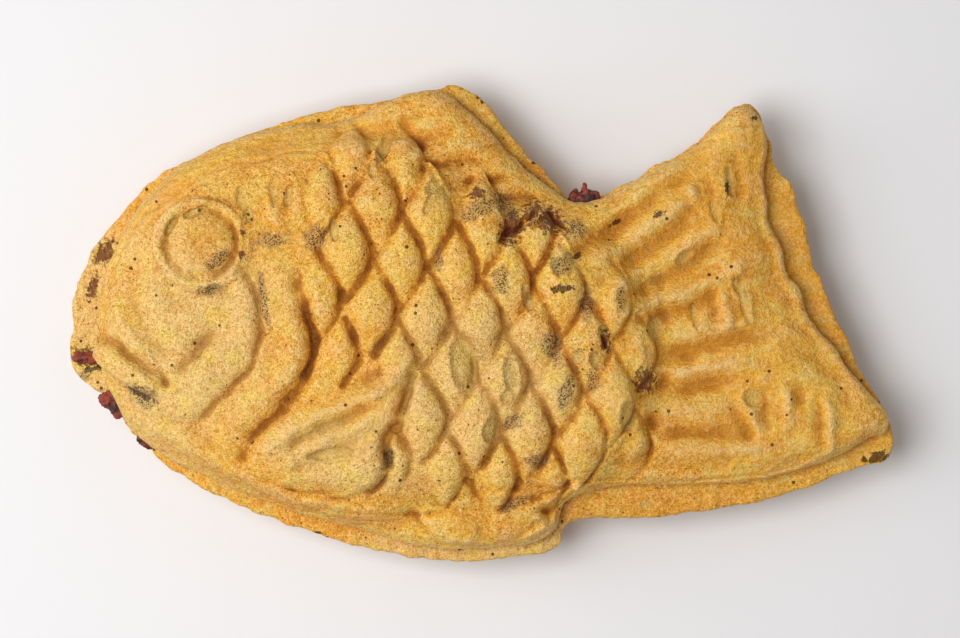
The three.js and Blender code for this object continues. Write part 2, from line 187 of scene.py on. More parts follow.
BELLY_FIN = [
    (-10.6, -34.4), (-8.6, -36.6), (-6, -39), (0, -40), (6, -39.2), (11, -37.6), (13.2, -34.6),
    (12, -31.4), (6, -30.6), (-1, -31.4), (-6, -33),
]
BELLY_DENTS = [[(-2.6, -25.8), (-1.5, -29.4), (-0.2, -32.6)], [(11.6, -33.4), (12.8, -35.6)]]
BELLY_CREVICE = [[(7, -31.9), (10.5, -31.3), (13.3, -30.2), (16.2, -28.7), (19.4, -28)]]
BELLY_PADS = [
    [(-10.4, -36.4), (-7, -35.2), (-2.2, -36), (-1, -38.4), (-4, -39.6), (-9, -39)],
    [(2.6, -34.9), (7, -34), (10.6, -35), (11.2, -37), (8, -38.6), (3.6, -38.6)],
]
BELLY_ARC = [[(-11.6, -35.8), (-6.4, -40), (4.6, -39.4), (13, -34.6)]]
TAIL_VALLEYS = [
    [(16, 12.6), (22.5, 16.6), (29, 21.4), (34.8, 26), (40.5, 31)],
    [(21.4, 8.1), (27, 11.6), (33.5, 16.2), (38.5, 20.5)],
    [(24.4, 3.8), (32, 7.6), (38.6, 11.8), (44.9, 15.6)], [(28.4, 0), (36, 2.4), (42.1, 5.5)],
    [(31.5, -6), (39.9, -4.4), (48, -2.6), (55, -0.6)], [(31.5, -12.4), (39, -11.2), (46, -10.2)],
    [(30.7, -19), (40.5, -20), (50, -19.4)],
]
TAIL_RIDGES = [
    [(17, 15.8), (24, 20.6), (31, 25.6), (37, 30.4)], [(19, 10.6), (26, 14.6), (33, 19.6), (38, 24)],
    [(23.4, 5.8), (31, 10), (38.6, 15), (43, 18.4)], [(27, 1.6), (35, 5), (42.6, 8.6), (49, 11.4)],
    [(31, -2.8), (39, -1), (48, 0.6)], [(32, -9), (41, -7.8), (50, -6)],
    [(31, -15.6), (40, -15.6), (47, -15)], [(30, -22.6), (42, -22.8), (54, -22.4)],
]
TAIL_EDGES = [
    [(28.6, -26), (40, -26.2), (52, -25.8), (62, -23.6)], [(44.4, 33), (46.6, 27), (46.6, 21)],
    [(58.4, -3.4), (63, -9), (67.6, -14.4)],
]
TAIL_DENTS = [
    [(32.4, 3.8), (33, 0.4)], [(41.4, 6.4), (41.9, 2.4), (42.2, -1.6)],
    [(44.8, -13.4), (47, -17.2), (49.2, -21)], [(50.2, -11.4), (51.4, -15.4), (51.2, -19.4)],
    [(57.4, -10.4), (58.2, -14.6)], [(60.6, -13.4), (61.2, -18.4), (61.6, -23.6)],
    [(40.4, 27), (42.2, 22.8)], [(35.8, -6.2), (38.6, -6.8)], [(43.4, -24.2), (49, -24.6)],
]
TAIL_BUMPS = [
    [(43.6, 7), (44.2, 2.6), (44.4, -1.4)], [(47.4, 6.8), (48.2, 2), (47.6, -1)],
    [(46.6, -12.4), (48.8, -16.2), (50.4, -19.6)], [(54.6, -10.6), (55.6, -15), (54.8, -20.4)],
    [(62.6, -12.6), (63.2, -18.4), (63.6, -24)], [(30.8, 7.4), (31.4, 4)], [(37.4, 25.4), (39, 21.8)],
]
TAIL_LIP = [[
    (50.2, 36.2), (50.7, 31.8), (49.9, 26.4), (50.6, 21.4), (50.9, 18.2), (53.3, 13), (54, 8.6), (56.8, 5),
    (57.6, 1.8), (60.2, -1.9), (62.6, -4.2), (64.6, -7.2), (67.3, -10.8), (70.2, -14.4),
]]
TAIL_BASE_DENTS = [[(30.4, -2), (30.8, -4.2)], [(32.8, -9), (32.8, -11.6)], [(30.8, -16.4), (31.2, -18.8)]]
OPEN_CRACKS = [
    [(3.8, 14.6), (5, 16.2), (5.4, 17.8)], [(5.6, 16.4), (6.8, 17.4), (7.4, 19.2)],
    [(7.6, 18.6), (9.2, 19.6), (9.8, 21)], [(9, 17.6), (11, 19), (12.6, 18.8)],
    [(12.4, 20.4), (13.6, 18), (15.6, 17.2)], [(22, -2.2), (22.4, -4.4)],
]

# ---- the lattice of scales

SCALE_PITCH = (9.58, 8.94)
FIRST_SCALE = (-28.4, 27.7)
SCALE_LEAN = 0.33  # how far each row starts nearer to the head than the row above
SCALE_DROOP = 1.75  # how far a row falls from one scale to the next, at mid height
SCALE_ROWS = [(0.5, 1.5), (0, 4), (0.5, 5.5), (0, 6), (0.5, 5.5), (2, 6), (1.5, 4.5)]
SMALLER_SCALES = {  # by row and column
    (0, 0.5): 0.78, (0, 1.5): 0.86, (1, 0): 0.8, (1, 4): 0.75, (2, 5.5): 0.8, (3, 0): 0.9, (3, 6): 0.78,
    (4, 0.5): 0.64, (4, 1.5): 0.86, (5, 6): 0.7, (6, 1.5): 0.72, (6, 2.5): 0.78, (6, 3.5): 0.78,
    (6, 4.5): 0.62,
}
SCALE_SIDE = [(0.2, 8.8), (2.5, 5.6), (4.4, 1.6), (4.3, -2.2), (2.6, -5.8), (0.3, -9)]  # from its middle

EYE = (-50.3, 14.4)
EYE_BALL = (6.1, 6.1, 2.4)  # its half widths
EYE_RING = (7.5, 1.0)  # the radii of the ring and of its section


def scale_places():
    """The middle and the size of each scale, row by row."""
    for row, (first, last) in enumerate(SCALE_ROWS):
        droop = SCALE_DROOP * (1 - ((row - 2.5) / 5) ** 2)
        column = first
        while column <= last:
            yield (
                FIRST_SCALE[0] + SCALE_PITCH[0] * column - SCALE_LEAN * row,
                FIRST_SCALE[1] - SCALE_PITCH[1] * row - droop * (column - 2.5),
                SMALLER_SCALES.get((row, column), 1),
            )
            column += 1


def scale_sides():
    """The line round the side of each scale that faces the tail, cut short where the side fin covers it."""
    for x, y, size in scale_places():
        shown = 4 if x < -12 and y < -5 else 6
        yield [(x + size * dx, y + size * (dy - 0.12 * dx)) for dx, dy in SCALE_SIDE[:shown]]


# ---- a modeller's hands


def switch_to(mode):
    bpy.ops.object.mode_set(mode=mode)


def select_only(*pieces):
    if bpy.context.object and bpy.context.object.mode != "OBJECT":
        switch_to("OBJECT")
    bpy.ops.object.select_all(action="DESELECT")
    for piece in pieces:
        piece.select_set(True)
    bpy.context.view_layer.objects.active = pieces[0] if pieces else None


def named(name):
    """Names the piece that was just added."""
    piece = bpy.context.object
    piece.name = name
    return piece


def finish_with(piece, kind, **settings):
    """Gives the piece a modifier and applies it."""
    select_only(piece)
    bpy.ops.object.modifier_add(type=kind)
    modifier = piece.modifiers[-1]
    for setting, value in settings.items():
        setattr(modifier, setting, value)
    bpy.ops.object.modifier_apply(modifier=modifier.name)
    return piece


def remesh(piece, size):
    """Gives a piece an even surface again, with faces of that size in mm."""
    return finish_with(piece, "REMESH", mode="VOXEL", voxel_size=size * MM)


def displace(piece, group, rise):
    """Moves the vertices of a group up, each by its share of some mm."""
    finish_with(piece, "DISPLACE", vertex_group=group, direction="Z", mid_level=0, strength=rise * MM)


def join(first, *others):
    select_only(first, *others)
    if others:
        bpy.ops.object.join()
    return first


def duplicate(piece, name):
    select_only(piece)
    bpy.ops.object.duplicate()
    return named(name)


def remove(*pieces):
    select_only(*pieces)
    bpy.ops.object.delete()


def bake_place(piece):
    """Moves the place, turn and scale of a piece into its mesh."""
    select_only(piece)
    bpy.ops.object.transform_apply()
    return piece


def draw(name, points, closed=False):
    """A smooth line in the plane through points in millimetres."""
    select_only()
    bpy.ops.curve.primitive_bezier_curve_add()
    line = named(name)
    switch_to("EDIT")
    bpy.ops.curve.select_all(action="SELECT")
    bpy.ops.curve.delete(type="VERT")
    for x, y in points:
        bpy.ops.curve.vertex_add(location=(x * MM, y * MM, 0))
    bpy.ops.curve.select_all(action="SELECT")
    bpy.ops.curve.handle_type_set(type="AUTOMATIC")
    if closed:
        bpy.ops.curve.cyclic_toggle()
    switch_to("OBJECT")
    line.data.resolution_u = 6
    return line


def draw_all(name, lines, closed=False):
    """Several smooth lines as one mesh of edges."""
    drawn = [draw(name, line, closed) for line in lines]
    select_only(*drawn)
    bpy.ops.object.convert(target="MESH")
    join(*drawn)
    return named(name)


def lift(piece, height):
    """Moves a whole mesh up by millimetres."""
    piece.location.z += height * MM
    return bake_place(piece)


def turn_outwards(piece):
    """Turns all faces of a closed piece outwards."""
    select_only(piece)
    switch_to("EDIT")
    bpy.ops.mesh.select_all(action="SELECT")
    bpy.ops.mesh.normals_make_consistent(inside=False)
    switch_to("OBJECT")


def cut_plate(name, edge, thickness, detail):
    """A flat plate with an outline, its surface in even faces."""
    plate = draw_all(name, [edge], closed=True)
    switch_to("EDIT")
    bpy.ops.mesh.select_all(action="SELECT")
    bpy.ops.mesh.edge_face_add()
    bpy.ops.mesh.extrude_region_move(TRANSFORM_OT_translate={"value": (0, 0, thickness * MM)})
    turn_outwards(plate)
    return remesh(plate, detail)


def weigh(piece, chosen, target, start, end, falloff, near="EDGE"):
    """Weights of 0 at one distance from the target and 1 at another, on the chosen vertices of a piece."""
    if "near" in piece.vertex_groups:
        piece.vertex_groups.remove(piece.vertex_groups["near"])
    piece.vertex_groups.new(name="near").add(chosen, 1.0, "REPLACE")
    finish_with(
        piece, "VERTEX_WEIGHT_PROXIMITY", vertex_group="near", target=target, proximity_mode="GEOMETRY",
        proximity_geometry={near}, min_dist=start * MM, max_dist=end * MM, falloff_type=falloff,
    )


def raise_pad(name, edge, rim, rise, rounding):
    """A pad over an outline: an upright rim, then a crown that rounds up like a quarter of an ellipse."""
    pad = cut_plate(name, edge, rim, FORM_DETAIL)
    line = lift(draw_all("edge", [edge], closed=True), rim)
    top = [v.index for v in pad.data.vertices if v.co.z > rim * 0.6 * MM]
    weigh(pad, top, line, 0, rounding, "ICON_SPHERECURVE")
    displace(pad, "near", rise)
    remove(line)
    return pad


def top_of(piece, x, y):
    """The level of the top of a piece over a place, in metres, and the direction that it faces there."""
    hit, place, normal, _ = piece.ray_cast(Vector((x * MM, y * MM, 1)), DOWN)
    if not hit:
        raise RuntimeError(f"nothing of {piece.name} lies under ({x}, {y})")
    return place.z, normal


def leaning(direction):
    """The turn that brings an upright piece to a direction."""
    return UP.rotation_difference(direction.normalized())


def lay_on(piece, lines):
    """Drops a mesh of lines from above onto the top of a piece."""
    return finish_with(
        lift(lines, 60), "SHRINKWRAP", target=piece, wrap_method="PROJECT", use_project_z=True,
        use_negative_direction=True, use_positive_direction=False,
    )


def press(piece, shape, reach, depth, near="EDGE"):
    """Presses lines or areas into a piece, dying out over their reach. A depth below 0 raises them."""
    weigh(piece, list(range(len(piece.data.vertices))), shape, reach, 0, "SMOOTH", near)
    displace(piece, "near", -depth)


def wander(lines, aside, lift_by):
    """Makes drawn lines a little unsteady, by some mm to the side and, here and there, upwards."""
    for vertex in lines.data.vertices:
        stray = noise.noise_vector(vertex.co * 300)
        vertex.co += Vector((stray.x * aside, stray.y * aside, max(0, stray.z) * lift_by)) * MM
    return lines


def press_lines(piece, lines, reach, depth):
    """Presses smooth lines into a piece. Each dies out over its last few millimetres, as it lifts off."""
    drawn = []
    for line in lines:
        stroke = wander(lay_on(piece, draw_all("stroke", [line])), 0.7, 0.4 * reach)
        last = len(stroke.data.vertices) - 1
        length = sum(math.dist(start, end) for start, end in zip(line, line[1:]))
        fade = min(3 * reach, 0.45 * length)
        for i, vertex in enumerate(stroke.data.vertices):
            inward = min(i, last - i) / last * length / fade
            vertex.co.z += 0.8 * reach * MM * max(0, 1 - inward) ** 2
        drawn.append(stroke)
    strokes = join(*drawn)
    press(piece, strokes, reach, depth)
    remove(strokes)


def raise_area(piece, edge, reach, rise):
    """Raises the area inside an outline, with a slope round it as wide as the reach."""
    area = lay_on(piece, cut_plate("area", edge, 1.0, FORM_DETAIL))
    press(piece, area, reach, -rise, near="FACE")
    remove(area)


def roughen(piece, size, depth):
    """Moves the surface in and out by cloudy noise of that size."""
    texture = bpy.data.textures.new("rough", "CLOUDS")
    texture.noise_depth = 2
    texture.noise_scale = size * MM
    finish_with(piece, "DISPLACE", texture=texture, texture_coords="LOCAL", strength=depth * MM)
    bpy.data.textures.remove(texture)


def smooth(piece, turns):
    return finish_with(piece, "SMOOTH", iterations=turns, factor=0.5)


# ---- one moulded half


def model_scale(sizes):
    """One scale: a dome pointed at both ends, tilted so that its side towards the tail stands out."""
    select_only()
    bpy.ops.mesh.primitive_uv_sphere_add(segments=24, ring_count=16, rotation=(math.pi / 2, 0, 0))
    scale = named("scale")
    bake_place(scale)
    switch_to("EDIT")
    levels = sorted({round(v.co.y, 4) for v in scale.data.vertices if abs(v.co.y) < 0.999})
    for level in levels:
        bpy.ops.mesh.select_all(action="DESELECT")
        switch_to("OBJECT")
        for vertex in scale.data.vertices:
            vertex.select = abs(vertex.co.y - level) < 0.001
        switch_to("EDIT")
        narrower = (1 - abs(level) ** sizes.scale_point) / math.sqrt(1 - level**2)
        bpy.ops.transform.resize(value=(narrower, 1, narrower), center_override=(0, level, 0))
    switch_to("OBJECT")
    scale.scale = (sizes.scale_width / 2 * MM, sizes.scale_length / 2 * MM, sizes.scale_rise * MM)
    scale.rotation_euler = (0, -sizes.scale_tilt, math.radians(-2))
    return bake_place(scale)


def lay_scales(half, sizes, seed):
    """Copies the scale over the lattice, each on the surface and a little different."""
    draws = random.Random(seed)
    model = model_scale(sizes)
    laid = []
    for x, y, size in scale_places():
        scale = duplicate(model, "scale")
        level, slope = top_of(half, x, y)
        scale.location = (x * MM, y * MM, level - sizes.scale_sink * MM)
        turn = Matrix.Rotation(draws.uniform(-0.06, 0.06), 3, "Z")
        scale.rotation_euler = (leaning(slope).to_matrix() @ turn).to_euler()
        stretches = (0.96, 1.04), (0.95, 1.02), (0.85, 1.1)
        scale.scale = [size * draws.uniform(*limits) for limits in stretches]
        laid.append(scale)
    remove(model)
    return laid


def lay_bars(half, lines, radius, sink, name):
    """Round bars along the surface and partly sunk in it, thick in the middle and thin at the ends."""
    bars = []
    for line in lines:
        bar = draw(name, line)
        points = bar.data.splines[0].bezier_points
        for i, point in enumerate(points):
            x, y = line[i]
            point.radius = 0.45 + 0.55 * math.sin(math.pi * (i + 0.6) / (len(points) + 0.2))
            shift = Vector((0, 0, top_of(half, x, y)[0] - sink * MM))
            for part in ("co", "handle_left", "handle_right"):
                setattr(point, part, getattr(point, part) + shift)
        bar.data.dimensions = "3D"
        bar.data.bevel_depth = radius * MM
        bar.data.bevel_resolution = 3
        bar.data.use_fill_caps = True
        select_only(bar)
        bpy.ops.object.convert(target="MESH")
        bars.append(named(name))
    return bars


def model_eye(half, sink):
    """The eye: a flattened ball in a raised ring, let into the head by some mm and half tilted with it."""
    x, y = EYE
    level, slope = top_of(half, x, y)
    level -= sink * MM
    lean = leaning(Vector((0, 0, 0.6)) + slope).to_euler()
    select_only()
    bpy.ops.mesh.primitive_uv_sphere_add(segments=48, ring_count=24)
    ball = named("eye_ball")
    ball.scale = [half_width * MM for half_width in EYE_BALL]
    ball.rotation_euler = lean
    ball.location = (x * MM, y * MM, level - 0.4 * MM)
    select_only()
    bpy.ops.mesh.primitive_torus_add(
        major_segments=64, minor_segments=16, major_radius=EYE_RING[0] * MM, minor_radius=EYE_RING[1] * MM,
    )
    ring = named("eye_ring")
    ring.scale = (1.04, 0.99, 0.9)
    ring.rotation_euler = lean
    ring.location = (x * MM, y * MM, level + 0.15 * MM)
    return [bake_place(ball), bake_place(ring)]


def shifted(lines, along, across):
    return [[(x + along, y + across) for x, y in line] for line in lines]


def arc(centre, radius, start, end, steps=12):
    """Points along part of a circle, from one angle to another in degrees."""
    angles = [math.radians(start + (end - start) * step / steps) for step in range(steps + 1)]
    return [(centre[0] + radius * math.cos(a), centre[1] + radius * math.sin(a)) for a in angles]


RAISED_AREAS = [  # outlines, the width of the slope round each and its rise
    (FIN_EDGE, 2.6, 0.9), (BELLY_FIN, 1.4, 0.8), *((pad, 1.3, 0.8) for pad in BELLY_PADS),
    (JOWL_BULGE, 2.4, 0.6),
]
STROKES = [  # lines, their reach to each side and their depth: below 0 they stand out
    ([arc(EYE, 6.5, -80, 40)], 0.9, 0.45),
    ([arc(EYE, 8.4, -60, 30)], 0.9, 0.5),
    (PUPIL, 0.8, 0.5),
    (shifted(PUPIL, 0.3, -0.9), 0.9, -0.3),
    (shifted(GILL_COVER, -3.4, 1.6), 4.6, -1),
    (GILL_COVER, 2.5, 1.2),
    ([GILL_COVER[0][1:6]], 1.5, 1),
    (shifted(CHEEK, -2.8, 1.6), 3.8, -0.8),
    (CHEEK, 1.2, 0.8),
    (FACE_EDGE, 1.4, 0.65),
    (SNOUT_FOLDS, 2.4, 0.5),
    (NOSE_RIDGE, 2.6, -0.7),
    (NOSE, 3.4, 1.1),
    (LOWER_LIP, 1.5, 0.9),
    (CHIN, 1.4, 0.6),
    (shifted(JAW, 2.6, -1.8), 3.2, -1),
    (JAW, 2.4, 1.1),
    (JAW_END, 1.3, 0.8),
    (LOW_BAND, 4, -1.5),
    (BROW_BULGES, 2.6, -0.9),
    (BACK_FOLDS, 2.2, 0.5),
    (BACK_RIDGES, 2.4, -0.6),
    (shifted(FIN_SHADE, -3.6, 1.2), 5, -1),
    (FIN_FOLDS[:1], 2.2, -1),
    (FIN_FOLDS[1:], 2.5, -0.75),
    (FIN_VALLEYS, 2, 0.5),
    (FIN_UNDER, 1.3, 0.7),
    (FIN_SHADE, 1.9, 1.4),
    (FIN_SHADE, 1.1, 0.7),
    (FIN_PITS, 1.5, 1.3),
    (BELLY_DENTS, 1.7, 1.2),
    (BELLY_ARC, 1.3, 0.6),
    (BELLY_CREVICE, 1.2, 1),
    (shifted(BELLY_CREVICE, 0.6, -1.3), 1.1, -0.6),
    (shifted(BELLY_CREVICE, 1.4, -2.5), 1.0, 0.6),
    (TAIL_VALLEYS, 2.7, 0.9),
    (TAIL_RIDGES, 2.6, -0.7),
    (TAIL_EDGES, 2.4, 0.6),
    (TAIL_DENTS, 1.9, 0.6),
    (TAIL_BUMPS, 1.7, -0.8),
    (TAIL_BASE_DENTS, 2, 1),
    (SCORES, 0.8, 0.5),
]


def mould_half(name, sizes, seed, eye_sink, extra=()):
    """One half of the cake, facing up from its seam at Z = 0, with all that the mould presses into it."""
    noise.seed_set(seed)
    body = raise_pad(name, BODY_EDGE, sizes.rim, sizes.body_rise, sizes.body_rounding)
    thin = raise_pad("thin", UPPER_EDGE, sizes.rim, sizes.tail_rise, sizes.tail_rounding)
    half = join(body, thin)
    remesh(half, FORM_DETAIL)
    smooth(half, 14)

    press_lines(half, TAIL_LIP, 9, 1.8)
    scales = lay_scales(half, sizes, seed)
    lip = lay_bars(half, TAIL_LIP, 1.6, 0.8, "tail_lip")
    jaw = lay_bars(half, JAW_BLOCK, 2.7, 0.8, "jaw")
    join(half, *scales, *lip, *jaw, *model_eye(half, eye_sink), *extra)
    remesh(half, sizes.voxel)
    smooth(half, 2)
    sides = wander(lay_on(half, draw_all("sides", list(scale_sides()))), 0.6, 0.4)
    press(half, sides, 1.3, 0.75)
    remove(sides)
    for edge, reach, rise in RAISED_AREAS:
        raise_area(half, edge, reach, rise)
    for lines, reach, depth in STROKES:
        press_lines(half, lines, reach, depth)
    smooth(half, 1)
    for size, depth in ((9, 0.9), (3.2, 0.35), (1.1, 0.3)):
        roughen(half, size, depth)
    thin_seam(half)
    return half


def thin_seam(half):
    """Leaves few faces on the flat side towards the other half, where there is enough crust over it."""
    facing_down, near_seam, thick = -0.7, 1.2 * MM, 3.4 * MM
    hidden = [
        v.index for v in half.data.vertices
        if v.normal.z < facing_down and v.co.z < near_seam and half.ray_cast(v.co + UP, DOWN)[1].z > thick
    ]
    half.vertex_groups.new(name="hidden").add(hidden, 1, "REPLACE")
    finish_with(half, "DECIMATE", ratio=0.4, vertex_group="hidden")
    finish_with(half, "DECIMATE", ratio=0.94)


def vertex_values(piece, values):
    """Reads one vector of each vertex."""
    read = np.empty(3 * len(piece.data.vertices), np.float32)
    piece.data.vertices.foreach_get(values, read)
    return read.reshape(-1, 3)


def note(piece, name, values):
    """Stores one number at each vertex, for the finish to read."""
    noted = piece.data.attributes.new(name, "FLOAT", "POINT")
    noted.data.foreach_set("value", values.astype(np.float32))


def note_relief(piece, turns, rim=0.0):
    """Notes how far each point stands out of the smoothed surface, in mm. A rim counts as plain."""
    plain = smooth(duplicate(piece, "plain"), turns)
    stands = (vertex_values(piece, "co") - vertex_values(plain, "co")) * vertex_values(plain, "normal")
    above = np.clip((vertex_values(piece, "co")[:, 2] / MM - rim) / 1.2, 0, 1) if rim else 1.0
    note(piece, "relief", stands.sum(axis=1) / MM * above)
    remove(plain)


def distance_to(piece, spots):
    """How far each point is from the nearest spot: 0 is its middle, 1 its edge and 9 far away."""
    places = vertex_values(piece, "co") / MM
    nearest = np.full(len(places), 9.0)
    for x, y, wide, tall, turn in spots:
        c, s = math.cos(math.radians(turn)), math.sin(math.radians(turn))
        dx, dy = places[:, 0] - x, places[:, 1] - y
        along, across = (c * dx + s * dy) / (wide / 2), (c * dy - s * dx) / (tall / 2)
        nearest = np.minimum(nearest, np.hypot(along, across))
    return nearest


def note_spots(piece, kinds):
    for name, spots in kinds.items():
        note(piece, name, distance_to(piece, spots))


def sink_blisters(piece, spots):
    """Sinks the thin skin over each blister a little, inside a raised lip."""
    distance = distance_to(piece, spots)
    skin, lip = ((0.75, 1.0), (1, 0), -0.6), ((0.95, 1.15, 1.5), (0, 1, 0), 0.35)
    for steps, shares, rise in (skin, lip):
        weights = np.interp(distance, steps, shares)
        group = piece.vertex_groups.new(name="skin")
        for vertex in np.flatnonzero(weights).tolist():
            group.add([vertex], float(weights[vertex]), "REPLACE")
        displace(piece, "skin", rise)
        piece.vertex_groups.remove(piece.vertex_groups["skin"])


# ---- finishes


class Socket:
    """The output of a shader node, so that shader maths can be written as an expression."""

    def __init__(self, finish, source):
        self.finish = finish
        self.source = source

    def maths(self, operation, first, second):
        return self.finish.node("Math", {"operation": operation}, {0: first, 1: second})

    def __add__(self, other):
        return self.maths("ADD", self, other)

    def __sub__(self, other):
        return self.maths("SUBTRACT", self, other)

    def __rsub__(self, other):
        return self.maths("SUBTRACT", other, self)

    def __mul__(self, other):
        return self.maths("MULTIPLY", self, other)

    __radd__ = __add__
    __rmul__ = __mul__


class Finish:
    """A material under construction. Its colours are painted one over the other."""

    def __init__(self, name, colour):
        self.material = bpy.data.materials.new(name)
        self.material.use_nodes = True
        self.tree = self.material.node_tree
        self.tree.nodes.clear()
        self.painted = (*colour, 1.0)

    def node(self, kind, settings, sockets, output=0):
        """Adds a node: its settings first, then the values or links of its sockets."""
        added = self.tree.nodes.new("ShaderNode" + kind)
        for setting, value in settings.items():
            setattr(added, setting, value)
        for socket, value in sockets.items():
            if isinstance(value, Socket):
                self.tree.links.new(value.source, added.inputs[socket])
            else:
                added.inputs[socket].default_value = value
        return Socket(self, added.outputs[output]) if added.outputs else None

    def vector_maths(self, operation, sockets):
        return self.node("VectorMath", {"operation": operation}, sockets)

    def place(self, shift=(0, 0, 0)):
        """Where the surface is, in millimetres, moved on by a shift so that pieces differ."""
        metres = self.node("TexCoord", {}, {}, "Object")
        millimetres = self.vector_maths("SCALE", {0: metres, "Scale": 1 / MM})
        return self.vector_maths("ADD", {0: millimetres, 1: shift})

    def noise(self, place, size, detail, roughness=0.5, output="Fac"):
        sockets = {"Vector": place, "Scale": 1 / size, "Detail": detail, "Roughness": roughness}
        return self.node("TexNoise", {}, sockets, output)

    def cells(self, place, size, output="Distance"):
        return self.node("TexVoronoi", {}, {"Vector": place, "Scale": 1 / size}, output)

    def channel(self, colour, number):
        return self.node("SeparateColor", {}, {"Color": colour}, number)

    def ramp(self, value, start, end):
        """0 before the start and 1 past the end, with a smooth change between them."""
        return self.node("MapRange", {"interpolation_type": "SMOOTHSTEP"}, {0: value, 1: start, 2: end})

    def noted(self, name):
        return self.node("Attribute", {"attribute_name": name}, {}, "Fac")

    def paint(self, share, colour):
        """Lays a colour over what is painted so far."""
        sockets = {0: share, 6: self.painted, 7: (*colour, 1.0)}
        self.painted = self.node("Mix", {"data_type": "RGBA"}, sockets, 2)

    def tint(self, strength):
        """Makes what is painted so far lighter or darker."""
        self.painted = self.vector_maths("SCALE", {0: self.painted, "Scale": strength})

    def complete(self, roughness, height, **constants):
        """Joins the results to the surface; the height is in millimetres."""
        normal = self.node("Bump", {}, {"Distance": MM, "Height": height})
        sockets = {"Base Color": self.painted, "Roughness": roughness, "Normal": normal}
        shader = self.node("BsdfPrincipled", {}, sockets | constants)
        self.node("OutputMaterial", {}, {"Surface": shader})
        return self.material


